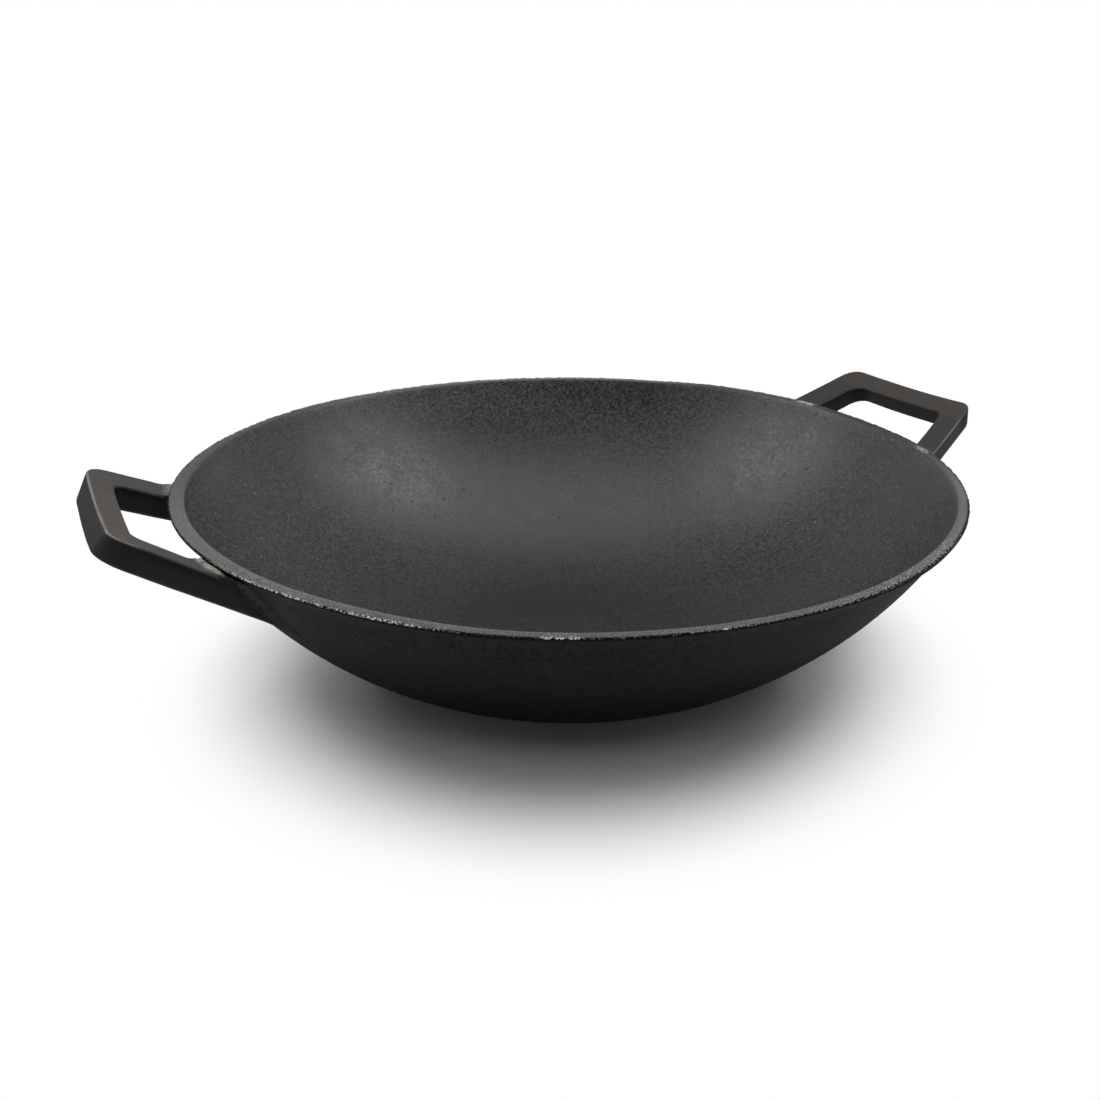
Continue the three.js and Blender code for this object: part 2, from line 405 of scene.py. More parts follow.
def sized_tree(name, *groups):
    """A geometry tree with a named input for each size in the groups, those fields, and their values."""
    tree = bpy.data.node_groups.new(name, "GeometryNodeTree")
    tree.interface.new_socket("Geometry", in_out="OUTPUT", socket_type="NodeSocketGeometry")
    values = {}
    for group in groups:
        for key in type(group).__annotations__:
            made = group.bl_rna.properties[key]
            kind = "NodeSocketInt" if made.type == "INT" else "NodeSocketFloat"
            socket = tree.interface.new_socket(made.name, in_out="INPUT", socket_type=kind)
            socket.description = made.description
            values[key] = (socket.identifier, made.name, getattr(group, key))
    entry = tree.nodes.new("NodeGroupInput")
    fields = {key: Field(tree, entry.outputs[label]) for key, (_, label, _) in values.items()}
    settings = {identifier: value for identifier, _, value in values.values()}
    return tree, SimpleNamespace(**fields), settings


def end_tree(geometry, material, second, where):
    """Close a tree: smooth faces, instances made real, the material set, and a second one on chosen faces."""
    tree = geometry.tree
    smooth = field_of(tree, "GeometryNodeSetShadeSmooth", {"Geometry": geometry})
    real = field_of(tree, "GeometryNodeRealizeInstances", {"Geometry": smooth})
    dressed = field_of(tree, "GeometryNodeSetMaterial", {"Geometry": real, "Material": material})
    inputs = {"Geometry": dressed, "Selection": where, "Material": second}
    add(tree, "NodeGroupOutput", {0: field_of(tree, "GeometryNodeSetMaterial", inputs)})


def grow(name, tree, settings):
    """A plain mesh object at the origin, made by a geometry tree."""
    piece = bpy.data.objects.new(name, bpy.data.meshes.new(name))
    bpy.context.scene.collection.objects.link(piece)
    modifier = piece.modifiers.new(tree.name, "NODES")
    modifier.node_group = tree
    for identifier, value in settings.items():
        modifier[identifier] = value
    depsgraph = bpy.context.evaluated_depsgraph_get()
    mesh = bpy.data.meshes.new_from_object(
        piece.evaluated_get(depsgraph), preserve_all_data_layers=True, depsgraph=depsgraph)
    piece.modifiers.remove(modifier)
    piece.data = mesh
    mesh.name = name
    if not mesh.polygons:
        raise RuntimeError(f"{name} came out empty")
    return piece


# Shapes

def wall_rule(s):
    """The arc of the outer wall, from the edge of the base to the neck under the lip."""
    neck_r = s.rim_radius - s.lip_overhang
    neck_z = s.rim_height - s.lip_depth
    chord_r = neck_r - s.base_radius
    chord = (chord_r * chord_r + neck_z * neck_z).root()
    out_r = neck_z / chord
    out_z = -chord_r / chord
    radius = (chord * chord / 4.0 + s.wall_belly * s.wall_belly) / (s.wall_belly * 2.0)
    bulge_r = s.base_radius + chord_r / 2.0 + out_r * s.wall_belly
    bulge_z = neck_z / 2.0 + out_z * s.wall_belly
    middle_r = bulge_r - out_r * radius
    middle_z = bulge_z - out_z * radius
    return SimpleNamespace(
        neck_r=neck_r, neck_z=neck_z, radius=radius, bulge_r=bulge_r, bulge_z=bulge_z,
        middle_r=middle_r, middle_z=middle_z)


def turn_of(x, y):
    """The angle of a place round from +X."""
    return y.apply("ARCTAN2", y, x)


def spread(turn, degrees, half_width):
    """1 about this angle and 0 past the half width."""
    away = abs(turn - math.radians(degrees))
    return 1.0 - step(away, math.radians(half_width * 0.4), math.radians(half_width))


def summed(turn, table):
    """The sum of a table's changes at an angle round the rim."""
    return sum(spread(turn, degrees, half_width) * change for degrees, half_width, change in table)


def slow_wave(s, place):
    """The casting's slow unevenness, which leaves the base flat."""
    return noise(place, 20.0, 1.0, seed=s.seed) * s.waviness * 2.0 * step(split(place)[2], 0.001, 0.008)


def bowl_profile(s):
    """The stretches of the bowl's section, from the axis under the base to the axis on the floor.

    Each is a curve with its count of points, and the zones of the surface that it lies in.
    """
    tree = s.rim_radius.tree
    wall = wall_rule(s)
    face_r = (wall.neck_r - wall.middle_r) / wall.radius
    face_z = (wall.neck_z - wall.middle_z) / wall.radius
    turn = s.base_round / wall.radius
    base_r = s.base_radius - wall.middle_r
    foot_r = wall.middle_r + base_r * turn.cosine() + wall.middle_z * turn.sine()
    foot_z = wall.middle_z + base_r * turn.sine() - wall.middle_z * turn.cosine()
    under_z = s.lip_depth - s.lip_edge
    under = (s.lip_overhang * s.lip_overhang + under_z * under_z).root()
    nose_r = s.rim_radius - s.lip_overhang / under * s.lip_nose
    nose_z = s.rim_height - s.lip_edge - under_z / under * s.lip_nose
    top_r = wall.neck_r - face_r * s.lip_wall
    top_z = wall.neck_z - face_z * s.lip_wall
    hollow = (top_z - s.floor_thickness) / (face_z + 1.0)
    hollow_r = top_r - face_r * hollow
    hollow_z = s.floor_thickness + hollow
    half = (face_r * face_r + (face_z - 1.0) * (face_z - 1.0)).root()
    edge_r = top_r - (s.rim_height - top_z) * face_z / face_r
    zero = s.rim_radius * 0.0

    def spot(r, z):
        return field_of(tree, "ShaderNodeCombineXYZ", {"X": r - s.rim_radius, "Y": -z})

    def line(start, end, count):
        curve = field_of(tree, "GeometryNodeCurvePrimitiveLine", {"Start": start, "End": end})
        return field_of(tree, "GeometryNodeResampleCurve", {"Curve": curve, "Count": count})

    def bend(start, middle, end, count):
        inputs = {"Resolution": count, "Start": start, "Middle": middle, "End": end}
        return field_of(tree, "GeometryNodeCurveQuadraticBezier", inputs)

    def arc(start, middle, end, count):
        inputs = {"Resolution": count, "Start": start, "Middle": middle, "End": end}
        return field_of(tree, "GeometryNodeCurveArc", inputs, mode="POINTS")

    base_end = spot(s.base_radius - s.base_round, zero)
    foot = spot(foot_r, foot_z)
    neck = spot(wall.neck_r, wall.neck_z)
    nose_low = spot(nose_r, nose_z)
    low_corner = spot(s.rim_radius, s.rim_height - s.lip_edge)
    face_low = spot(s.rim_radius, s.rim_height - s.lip_edge + s.lip_nose)
    face_high = spot(s.rim_radius, s.rim_height - s.lip_nose)
    high_corner = spot(s.rim_radius, s.rim_height)
    nose_high = spot(s.rim_radius - s.lip_nose, s.rim_height)
    bite_end = spot(s.rim_radius - s.lip_nose - s.rim_bite, s.rim_height)
    band_end = spot(s.rim_radius - s.rim_band, s.rim_height)
    wall_top = spot(top_r, top_z)
    hollow_side = spot(hollow_r + hollow * face_r / half, hollow_z + hollow * (face_z - 1.0) / half)
    hollow_foot = spot(hollow_r, s.floor_thickness)
    along = field_of(tree, "GeometryNodeSplineParameter")
    fading = (0.5 - along * 1.5).most(0.0)
    return [
        (line(spot(zero, zero), base_end, 5), {}),
        (bend(base_end, spot(s.base_radius, zero), foot, 5), {}),
        (arc(foot, spot(wall.bulge_r, wall.bulge_z), neck, 30), {}),
        (line(neck, nose_low, 4), {"swell": along, "lip": along}),
        (bend(nose_low, low_corner, face_low, 4), {"swell": 1.0, "lip": 1.0}),
        (line(face_low, face_high, 4), {"swell": 1.0 - along, "lip": 1.0}),
        (bend(face_high, high_corner, nose_high, 4), {"rim": along * 0.4, "edge": 1.0, "lip": 1.0}),
        (line(nose_high, bite_end, 4), {"rim": along * 0.6 + 0.4, "edge": 1.0 - along}),
        (line(bite_end, band_end, 3), {"rim": 1.0, "band": along}),
        (bend(band_end, spot(edge_r, s.rim_height), wall_top, 6),
         {"rim": fading, "inside": 1.0, "band": 1.0 - along * 0.3}),
        (arc(wall_top, hollow_side, hollow_foot, 36), {"inside": 1.0, "band": (0.7 - along * 4.0).most(0.0)}),
        (line(hollow_foot, spot(zero, s.floor_thickness), 4), {"inside": 1.0}),
    ]


def stored(geometry, name, value):
    """Geometry with a number kept on its points under this name."""
    inputs = {"Geometry": geometry, "Name": name, "Value": value}
    return field_of(
        geometry.tree, "GeometryNodeStoreNamedAttribute", inputs, data_type="FLOAT", domain="POINT")


def kept(tree, name):
    """A number that was kept on the points."""
    return field_of(tree, "GeometryNodeInputNamedAttribute", {"Name": name}, data_type="FLOAT")


def bowl_tree(sizes, inside_iron, outside_iron):
    """A tree that turns the bowl's section round its axis and gives it a casting's unevenness."""
    tree, s, settings = sized_tree("turned_bowl", sizes)
    stretches = []
    for curve, zones in bowl_profile(s):
        for zone in ("inside", "rim", "edge", "lip", "swell", "band"):
            curve = stored(curve, zone, zones.get(zone, 0.0))
        stretches.append(curve)
    section = field_of(tree, "GeometryNodeJoinGeometry", {0: stretches})
    circle = field_of(
        tree, "GeometryNodeCurvePrimitiveCircle", {"Resolution": s.sectors, "Radius": s.rim_radius})
    upright = field_of(tree, "GeometryNodeSetCurveNormal", {"Curve": circle}, mode="Z_UP")
    shell = field_of(tree, "GeometryNodeCurveToMesh", {"Curve": upright, "Profile Curve": section})
    outward = field_of(tree, "GeometryNodeFlipFaces", {"Mesh": shell})
    closed = field_of(tree, "GeometryNodeMergeByDistance", {"Geometry": outward, "Distance": WELD_DISTANCE})
    place = field_of(tree, "GeometryNodeInputPosition")
    facing = field_of(tree, "GeometryNodeInputNormal")
    x, y, height = split(place)
    turn = turn_of(x, y)
    widest = (turn - s.band_turn).cosine() * 0.5 + 0.5
    for _ in range(BAND_SQUARINGS):
        widest = widest * widest
    inward = widest * s.band_swell * kept(tree, "band") / (x * x + y * y).root().most(s.base_radius)
    upward = summed(turn, RIM_WARP) * step(height, WARP_START, s.rim_height)
    upward = upward - kept(tree, "swell") * summed(turn, LIP_SWELL)
    shift = field_of(tree, "ShaderNodeCombineXYZ", {"X": -x * inward, "Y": -y * inward, "Z": upward})
    ragged = noise(place, 430.0, 2.0, 0.6, seed=s.seed) * s.rim_nicks * 2.0 * kept(tree, "edge")
    uneven = scaled(facing, slow_wave(s, place) + ragged)
    offset = field_of(tree, "ShaderNodeVectorMath", {0: uneven, 1: shift}, operation="ADD")
    cast = field_of(tree, "GeometryNodeSetPosition", {"Geometry": closed, "Offset": offset})
    wall_only = step(height, 0.006, 0.010) * (1.0 - step(kept(tree, "rim") + kept(tree, "lip"), 0.0, 0.05))
    crowd = wall_only * (kept(tree, "inside") * (PIMPLES_INSIDE - PIMPLES_OUTSIDE) + PIMPLES_OUTSIDE)
    scatter = add(
        tree, "GeometryNodeDistributePointsOnFaces", {"Mesh": cast, "Density": crowd, "Seed": s.seed})
    girth = field_of(
        tree, "FunctionNodeRandomValue", {2: 0.4, 3: 1.0, "Seed": s.seed}, output=1, data_type="FLOAT")
    girth = girth * s.pimple_radius
    shape = field_of(tree, "ShaderNodeCombineXYZ", {"X": girth, "Y": girth, "Z": girth * 0.3})
    pimple = field_of(tree, "GeometryNodeMeshIcoSphere", {"Radius": 1.0, "Subdivisions": 1})
    pimples = field_of(tree, "GeometryNodeInstanceOnPoints", {
        "Points": Field(tree, scatter.outputs["Points"]),
        "Instance": pimple,
        "Rotation": Field(tree, scatter.outputs["Rotation"]),
        "Scale": shape,
    })
    outer_faces = kept(tree, "inside") + kept(tree, "rim")
    outer_faces = outer_faces.apply("LESS_THAN", outer_faces, BLACK_SHARE)
    casting = field_of(tree, "GeometryNodeJoinGeometry", {0: [cast, pimples]})
    end_tree(casting, inside_iron, outside_iron, outer_faces)
    return tree, settings


def rounded(first, second, radius, lean):
    """Distance from two faces that meet in a rounded corner, with the cosine between the ways they face."""
    a = first + radius
    b = second + radius
    flat = a.most(b)
    tip = ((a * a + b * b - a * b * lean * 2.0) / (1.0 - lean * lean)).root()
    past = (a - b * lean).least(b - a * lean)
    return flat + (tip - flat) * past.apply("GREATER_THAN", past, 0.0) - radius


def merged(first, second, reach):
    """Distance from two solids that run into each other in a fillet."""
    share = (reach - abs(first - second)).most(0.0) / reach
    return first.least(second) - share * share * reach / 4.0


def loop_rule(s, side_name, place):
    """Distance from a loop's surface, below 0 inside it, and where on the loop a place is."""
    side = SIDES[side_name]
    x, y, z = split(place)
    far_share = step(y, -ARM_CHANGE, ARM_CHANGE)

    def arm(key, share=far_share):
        near, far = (getattr(s, f"{side_name}_{key}_{end}") for end in ENDS)
        return near + (far - near) * share

    u = x * side - getattr(s, f"{side_name}_outward")
    v = (y - getattr(s, f"{side_name}_back")) * side
    r = (x * x + y * y).root()
    past_rim = r - s.rim_radius
    rise = s.slope.sine()
    run = s.slope.cosine()
    lean = s.arm_splay.sine()
    upright = s.arm_splay.cosine()
    outward = u - s.rim_radius
    lift = getattr(s, f"{side_name}_upward")
    upward = z - lift - (s.rim_height - s.drop) - v * v / (s.crown_radius * 2.0)
    along = outward * run + upward * rise + v * v / (s.bow_radius * 2.0)
    height = upward * run - outward * rise
    taper = getattr(s, f"{side_name}_taper") * (along / s.reach - 0.5)
    thickness = s.thickness - getattr(s, f"{side_name}_thinning") + taper
    depth = (-height / thickness).most(0.0).least(1.0)
    arm_half = s.arm_width / 2.0 / upright
    inner_side = s.arm_spacing / 2.0 - lean / upright * along - arm_half
    across = abs(v) - inner_side
    outer_side = (across - arm_half * 2.0 + depth * s.draft_outer - arm("outset")) * upright
    outer_corner = arm("outer") + depth * arm("flare")
    bar_side = along - s.reach + getattr(s, f"{side_name}_lean") * (LEAN_PIVOT - depth)
    outer = rounded(bar_side, outer_side, outer_corner, lean)
    web = arm("web") * (1.0 - step(past_rim, 0.0, 0.0022))
    gap_side = (across - depth * s.draft_inner + arm("inset") + web) * upright
    along_bar = (y / s.arm_spacing + 0.5).most(0.0).least(1.0)
    gap_start = s.reach - s.bar_width - arm("bar", along_bar)
    gap = rounded(along - gap_start, gap_side, arm("gap"), lean)
    plan = outer.most(-gap)
    slab = abs(height + thickness / 2.0) - thickness / 2.0
    collar = (past_rim - s.collar).most(z - s.rim_height + arm("collar"))
    thick = merged(slab, collar.most(-height - thickness / 2.0), s.collar_fillet)
    under_round = getattr(s, f"{side_name}_under")
    edge_radius = s.edge_round + (under_round - s.edge_round) * step(depth, 0.3, 0.7)
    body = rounded(plan, thick, edge_radius, s.edge_round * 0.0)
    wall = wall_rule(s)
    arm_r = r - wall.middle_r
    arm_z = z - wall.middle_z
    wall_side = (arm_r * arm_r + arm_z * arm_z).root() - wall.radius
    lip_edge = s.lip_edge + summed(turn_of(x, y), LIP_SWELL)
    under_z = s.lip_depth - lip_edge
    under = (s.lip_overhang * s.lip_overhang + under_z * under_z).root()
    below_lip = (past_rim * under_z - (z - s.rim_height + lip_edge) * s.lip_overhang) / under
    lip = below_lip.most(past_rim).most(z - s.rim_height)
    capped = wall_side.most(z - wall.neck_z)
    sink = step(body, s.root_fillet * 0.6, s.root_fillet * 0.9) * ROOT_SINK
    joined = merged(body, capped, s.root_fillet) + sink
    crevice = s.lip_gap * step(gap, 0.0, 0.003)
    solid = joined.most(-wall_side - ROOT_BURIED).most(body - s.root_fillet).most(crevice - lip)
    # 1 in the middle of the root fillet, where the materials paint light into the crease
    crease = 1.0 - step(abs(body - capped), 0.0, s.root_fillet * 0.95)
    return SimpleNamespace(
        solid=solid, height=height, plan=plan, slab=slab, thick=thick, wall_side=wall_side, past_rim=past_rim,
        past_gap=along - gap_start, depth=depth, outer=outer, far_share=far_share, crease=crease)


def without_crumbs(skin):
    """A skin without the loose crumbs that a grid leaves where a solid runs out thin."""
    island = field_of(skin.tree, "GeometryNodeInputMeshIsland")
    inputs = {"Value": 1.0, "Group ID": island}
    count = field_of(skin.tree, "GeometryNodeAccumulateField", inputs, output="Total")
    crumb = count.apply("LESS_THAN", count, CRUMB_POINTS)
    return field_of(skin.tree, "GeometryNodeDeleteGeometry", {"Geometry": skin, "Selection": crumb})


def loop_tree(side_name, bowl, handle, loop_iron, wall_iron, pitch):
    """A tree that fills a box with the loop's rule and skins it."""
    tree, s, settings = sized_tree(f"{side_name}_loop", bowl, handle)
    low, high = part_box(f"{side_name}_handle")
    margin = Vector((1.0, 1.0, 1.0)) * GRID_MARGIN
    low, high = low - margin, high + margin
    counts = [math.ceil(length / pitch) for length in high - low]
    place = field_of(tree, "GeometryNodeInputPosition")
    facing = field_of(tree, "GeometryNodeInputNormal")
    rule = loop_rule(s, side_name, place)
    volume = field_of(tree, "GeometryNodeVolumeCube", {
        "Density": rule.solid * (-1.0 / MILLIMETRE),
        "Background": -1.0,
        "Min": low,
        "Max": high,
        "Resolution X": counts[0],
        "Resolution Y": counts[1],
        "Resolution Z": counts[2],
    })
    skin = field_of(
        tree, "GeometryNodeVolumeToMesh", {"Volume": volume, "Threshold": 0.0}, resolution_mode="GRID")
    skin = without_crumbs(skin)
    for _ in range(SKIN_PASSES):
        skin = field_of(
            tree, "GeometryNodeSetPosition", {"Geometry": skin, "Offset": scaled(facing, -rule.solid)})
    grit = noise(place, 330.0, 2.0, 0.6, s.handle_seed) * s.grain
    uneven = noise(place, 38.0, 1.0, 0.5, s.handle_seed) * s.grain * 2.5
    away = step(rule.wall_side, 0.0, 0.004)
    relief = (grit + uneven) * away + slow_wave(s, place) * (1.0 - away)
    skin = field_of(tree, "GeometryNodeSetPosition", {"Geometry": skin, "Offset": scaled(facing, relief)})
    # The lighter top colour stops at the rim's radius, so the arms' tops under the lip keep the dark side
    # colour as a painted shade of the lip
    top = step(rule.height, -0.0011, -0.0003) * step(rule.past_rim, 0.0, 0.003)
    # Painted highlight along the loops' rounded outer edges, strong or weak per arm
    edge = (rule.plan.least(rule.thick) / s.edge_round * 1.2 + 1.5).most(0.0).least(1.0)
    edge = edge * step(rule.height, -0.0025, -0.0012) * step(rule.past_rim, 0.0, 0.004)
    near_gleam, bar_gleam, far_gleam = EDGE_HIGHLIGHTS[side_name]
    grip = step(rule.past_gap, -0.006, 0.004)
    arm_gleam = rule.far_share * (far_gleam - near_gleam) + near_gleam
    gleam = arm_gleam + (bar_gleam - arm_gleam) * grip
    edge = edge * gleam * step(rule.outer - rule.plan, -0.002, -0.001)
    skin = stored(skin, "top", top)
    skin = stored(skin, "edge", edge)
    skin = stored(skin, "grip", grip)
    skin = stored(skin, "depth", rule.depth)
    skin = stored(skin, "crease", rule.crease)
    skin = stored(skin, "rise", step(rule.slab, 0.0002, 0.0012) * step(rule.past_rim, -0.001, 0.0005))
    skin = stored(skin, "root", 1.0 - step(rule.wall_side, s.root_fillet * 0.5, s.root_fillet * 1.6))
    root = rule.wall_side.apply("LESS_THAN", rule.wall_side, s.root_fillet * 0.8)
    under_lip = rule.past_rim.apply("LESS_THAN", rule.past_rim, -0.001)
    end_tree(skin, loop_iron, wall_iron, root * under_lip)
    return tree, settings


# Materials

def blank_material(name):
    """A new material, with its tree, its shader and its Object coordinates."""
    material = bpy.data.materials.new(name)
    material.use_nodes = True
    tree = material.node_tree
    place = field_of(tree, "ShaderNodeTexCoord", output="Object")
    return material, tree, tree.nodes["Principled BSDF"], place


def mixed(share, first, second):
    """A colour between two, by a share from 0 to 1."""
    def full(value):
        return value if isinstance(value, Field) else (*value, 1.0)
    inputs = {0: share, 6: full(first), 7: full(second)}
    return field_of(share.tree, "ShaderNodeMix", inputs, output=2, data_type="RGBA")


def painted(tree, name):
    """A number that the piece's mesh carries."""
    return field_of(tree, "ShaderNodeAttribute", output="Fac", attribute_name=name)


def spots(place, scale, reach, rarity):
    """Scattered round spots, 1 at their middles and 0 between them."""
    cells = add(place.tree, "ShaderNodeTexVoronoi", {"Vector": place, "Scale": scale})
    distance = Field(place.tree, cells.outputs["Distance"])
    chance = split(Field(place.tree, cells.outputs["Color"]))[0]
    return (1.0 - step(distance, reach * 0.4, reach)) * step(chance, rarity, rarity + 0.02)


def surface(tree, shader, tint, roughness, height):
    """Join a colour, a roughness and a relief in millimetres to the shader."""
    bump = field_of(tree, "ShaderNodeBump", {"Strength": 1.0, "Distance": MILLIMETRE, "Height": height})
    tree.links.new(tint.socket, shader.inputs["Base Color"])
    tree.links.new(roughness.socket, shader.inputs["Roughness"])
    tree.links.new(bump.socket, shader.inputs["Normal"])


def worn_and_glinting_places(place):
    """How far the rim is rubbed to metal on its edge and on its band, up to 1 at the listed places, partly
    real wear and partly painted glints and highlights.
    """
    turn = turn_of(*split(place)[:2])
    on_edge = (noise(place, 30.0, 1.0) * 0.3 + 0.12).most(0.0)
    on_band = on_edge * 0.1
    for degrees, half_width, metal_and_glint, across in RIM_WEAR_AND_GLINTS:
        worn_and_glinting = spread(turn, degrees, half_width) * metal_and_glint
        on_edge = on_edge.most(worn_and_glinting)
        on_band = on_band.most(worn_and_glinting * across)
    return on_edge, on_band


def ground_rim(place, finish):
    """The ground rim's grit, its painted highlights and shade, its colour, its bright specks, and where its
    edge is clear of the lip's black.
    """
    rim = painted(place.tree, "rim")
    edge = painted(place.tree, "edge")
    turn = turn_of(*split(place)[:2])
    grit = noise(place, 1300.0, 2.0, 0.7, 9.0)
    # Painted highlights and painted shade round the band
    tone = summed(turn, RIM_LIGHT_AND_SHADE) + 1.0
    mottle = (grit * 5.0 + noise(place, 22.0, 3.0, 0.5) * 0.6 + 1.0).most(0.15)
    colour = scaled(tuple(finish.rim), mottle * tone)
    on_edge, on_band = worn_and_glinting_places(place)
    bare_and_glinting = (on_edge * edge).most(on_band * rim)
    # Painted glints: bright specks on the rubbed places, partly exposed metal and partly glints where the
    # lamps catch the rough edge
    flecks_and_glints = step(grit + bare_and_glinting * 0.1, 0.05, 0.15) * bare_and_glinting
    bite = summed(turn, RIM_BITES) + 0.45
    clear = step(rim + noise(place, 650.0, 2.0, 0.6, 11.0) * edge * 1.2 - bite, 0.0, 0.15)
    return SimpleNamespace(
        rim=rim, edge=edge, grit=grit, tone=tone, colour=colour, flecks_and_glints=flecks_and_glints, clear=clear)


def inside_iron(finish):
    """Seasoned iron of the cooking surface, with grain and pits, painted highlight on the upper back wall and
    painted shade on the floor, and of the ground rim.
    """
    material, tree, shader, place = blank_material("inside_iron")
    ground = ground_rim(place, finish)
    rim, edge = ground.rim, ground.edge
    grain = noise(place, 480.0, 3.0, 0.6)
    fine = noise(place, 1500.0, 2.0, 0.6, 3.0)
    patch = noise(place, 22.0, 3.0, 0.5)
    specks = spots(place, 250.0, 0.24, 0.9)
    pits = spots(place, 210.0, 0.3, 0.88)
    blotch = noise(place, 95.0, 3.0, 0.6, 13.0)
    base = mixed(step(noise(place, 34.0, 2.0, 0.5, 5.0), -0.12, 0.12), finish.inside, finish.inside_warm)
    x, y, z = split(place)
    radius = (x * x + y * y).root()
    # 0 on the bowl's floor and 1 up the wall; the floor is painted three tenths darker with it, as painted
    # shade
    up_wall = step(radius, 0.04, 0.1)
    across = x * x / (x * x + y * y)
    leftward = 1.0 - step(x, -0.06, 0.06)
    coarse = (step(radius, 0.075, 0.17) * 1.9 + 0.6) * (across * 0.7 + 0.5) * (leftward * 0.5 + 0.9)
    speckle = (grain * 3.0 + fine * 5.0 + specks * 1.4) * coarse
    mottle = (patch * 0.4 + speckle - pits * 0.4 + 1.0).most(0.2)
    # Painted highlight: the upper back of the inside is painted up to nearly twice as light
    back_highlight = spread(turn_of(x, y), 88.0, 40.0) * step(z, 0.066, 0.088)
    base = scaled(base, mottle * (up_wall * 0.3 + 0.7) * (back_highlight * 0.8 + 1.0))
    # The edge is painted with the lip's near black where it is not ground: partly its own colour, partly
    # painted shade
    under = mixed(edge, base, finish.lip)
    tint = mixed(rim + (ground.clear - rim) * edge, under, ground.colour)
    tint = mixed(ground.flecks_and_glints, tint, finish.fleck_and_glint)
    dull = (1.0 - ground.tone).most(0.0) * rim * 0.45 + (1.0 - ground.clear) * edge * 0.5
    sheen = (grain * 0.4 + blotch * 0.22 + pits * 0.16) * (1.0 - rim) * (up_wall * 0.8 + 0.2)
    roughness = grain * 0.2 + sheen + 0.42 + dull - rim * 0.02 - ground.flecks_and_glints * 0.1
    height = grain * 0.1 * (1.0 - rim * 0.6) + fine * 0.05 + ground.grit * rim * 0.08
    surface(tree, shader, tint, roughness, height)
    return material


def painted_wall_shade(place):
    """How light the outer wall is painted: 1 under the lip, painted shade darkest low on the wall where the
    floor's shadow falls, and painted light that lifts the base again.
    """
    height = split(place)[2]
    return step(height, 0.038, 0.088) * 0.91 + 0.09 + (1.0 - step(height, 0.004, 0.024)) * 0.7


def outside_iron(finish):
    """Seasoned iron of the outer wall and the base, with the sand's orange peel, painted shade low on the
    wall and painted light in the creases of the loops' roots.
    """
    material, tree, shader, place = blank_material("outside_iron")
    peel = noise(place, 300.0, 2.0, 0.5)
    fine = noise(place, 900.0, 2.0, 0.6)
    patch = noise(place, 26.0, 3.0, 0.55)
    # Painted shade: the wall's colour darkens towards the bottom, where the floor's shadow falls
    shade_level = painted_wall_shade(place)
    # Painted light: the loops' root fillets are lightened most in the middle of their crease, against the
    # shade that falls there
    crease_light = painted(tree, "crease") * 1.8 + 1.0
    mottle = (peel * 1.5 + fine * 3.2 + patch * 0.35 + 1.0).most(0.2)
    tint = scaled(tuple(finish.outside), shade_level * crease_light * mottle)
    # The lip's outer face and underside are painted near black: partly their own colour, partly painted shade
    # under the overhang
    tint = mixed(painted(tree, "lip"), tint, finish.lip)
    ground = ground_rim(place, finish)
    tint = mixed(ground.clear * ground.edge, tint, ground.colour)
    tint = mixed(ground.flecks_and_glints, tint, finish.fleck_and_glint)
    surface(tree, shader, tint, fine * 0.2 - shade_level * 0.2 + 0.85, peel * 0.28 + fine * 0.14)
    shader.inputs["Specular IOR Level"].default_value = OUTSIDE_SPECULAR
    return material


def loop_iron(finish):
    """Iron of the loops: dark grained sides, a brown-grey top face that hands have rubbed, painted highlights
    on the outer edges and root rises, painted shade under the arms' top edges, and painted light in the root
    creases.
    """
    material, tree, shader, place = blank_material("loop_iron")
    top = painted(tree, "top")
    edge = painted(tree, "edge")
    rise = painted(tree, "rise")
    grip = painted(tree, "grip")
    fine = noise(place, 800.0, 3.0, 0.6)
    grain = noise(place, 420.0, 2.0, 0.6)
    patch = noise(place, 55.0, 3.0, 0.55)
    rubbed = (top * (patch * 0.5 + 0.95)).most(0.0).least(1.0)
    face = mixed((grip * 0.9 + patch * 0.5).most(0.0).least(1.0), finish.handle_arm, finish.handle_grip)
    # Painted shade: the arms' sides are painted darker just under their top edges
    arm_side_shade = 1.0 - (1.0 - step(painted(tree, "depth"), 0.12, 0.45)) * (1.0 - grip) * 0.7
    base = mixed(rubbed, scaled(tuple(finish.handle_side), arm_side_shade), face)
    # Painted highlight on the outer edges
    base = mixed((edge * edge * (patch * 1.5 + 0.75)).most(0.0).least(1.0), base, finish.handle_highlight)
    # The rise at the arms' roots: a rough bead, painted with the highlight colour as a painted highlight
    base = mixed(rise * (grain * 4.0 + 0.7).most(0.0).least(1.0), base, finish.handle_highlight)
    root = painted(tree, "root")
    # Painted light: the root fillets are lightened most in the middle of their crease, against the shade that
    # falls there
    crease_light = painted(tree, "crease") * 1.8 + 1.0
    # The loops' roots take the wall's colour with its painted shade low on the wall
    base = mixed(root * (1.0 - top) * (1.0 - rise), base, scaled(tuple(finish.outside), painted_wall_shade(place) * crease_light))
    tint = scaled(base, fine * 0.6 + 1.0)
    roughness = fine * 0.2 + root * 0.2 + grip * (1.0 - top) * 0.14 + 0.55
    surface(tree, shader, tint, roughness, fine * 0.1 + grain * (rise * 0.6 + 0.15))
    shader.inputs["Specular IOR Level"].default_value = LOOP_SPECULAR
    return material


# Operators

class WOK_OT_bowl(bpy.types.Operator):
    """Turn the bowl and dress it in seasoned iron"""

    bl_idname = "wok.bowl"
    bl_label = "Bowl"

    def execute(self, context):
        finish = context.scene.wok_finish
        tree, settings = bowl_tree(context.scene.wok_bowl, inside_iron(finish), outside_iron(finish))
        piece = grow("bowl_casting", tree, settings)
        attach(piece, BODY)
        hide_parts("bowl")
        return {"FINISHED"}


